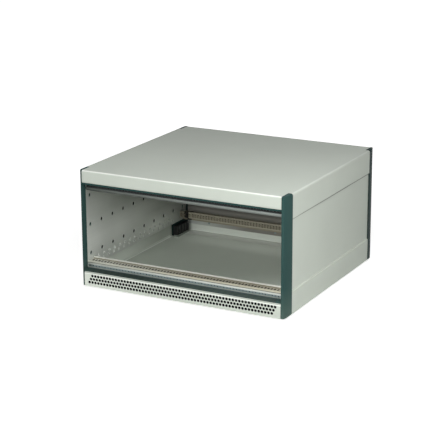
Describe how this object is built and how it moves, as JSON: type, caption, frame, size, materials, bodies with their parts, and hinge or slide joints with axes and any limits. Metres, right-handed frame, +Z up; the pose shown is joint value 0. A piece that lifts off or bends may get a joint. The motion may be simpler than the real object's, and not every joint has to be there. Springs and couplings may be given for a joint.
{
  "type": "rack mount case",
  "caption": "Table-top rack mount case: folded light sheet covers on dark corner pillars around an open-fronted subrack with rails, drilled side plates and a perforated vent strip.",
  "frame": {"origin": "middle of the footprint, on the ground under the feet", "axes": "+Z up, the open front faces -Y, +X to the right seen from the front"},
  "size_m": [0.336, 0.322, 0.181],
  "materials": {
    "cover_paint": "fine textured light grey paint",
    "pillar_paint": "satin dark grey-green paint",
    "plain_aluminium": "plain mill finish",
    "passivated_aluminium": "yellowish passivated finish",
    "fastener_steel": "zinc plated",
    "foot_rubber": "matt black",
    "block_plastic": "moulded black",
    "filter_foam": "open black foam"
  },
  "bodies": {
    "root": {"top_cover": "cover_paint", "bottom_cover": "cover_paint", "vent_strip": "cover_paint", "filter_mat": "filter_foam", "left_side_panel": "cover_paint", "right_side_panel": "cover_paint", "rear_panel": "passivated_aluminium", "front_left_pillar": "pillar_paint", "front_right_pillar": "pillar_paint", "rear_left_pillar": "pillar_paint", "rear_right_pillar": "pillar_paint", "front_left_block": "block_plastic", "front_right_block": "block_plastic", "rear_left_block": "block_plastic", "rear_right_block": "block_plastic", "front_top_trim": "pillar_paint", "front_bottom_trim": "pillar_paint", "left_side_plate": "plain_aluminium", "right_side_plate": "plain_aluminium", "front_top_rail": "plain_aluminium", "front_bottom_rail": "plain_aluminium", "rear_top_rail": "passivated_aluminium", "rear_bottom_rail": "passivated_aluminium", "front_top_strip": "fastener_steel", "front_bottom_strip": "fastener_steel", "rear_top_strip": "fastener_steel", "rear_bottom_strip": "fastener_steel", "rail_screws": "fastener_steel", "rear_screws": "fastener_steel", "tray_screws": "fastener_steel", "front_left_foot": "foot_rubber", "front_right_foot": "foot_rubber", "rear_left_foot": "foot_rubber", "rear_right_foot": "foot_rubber"}
  },
  "joints": []
}
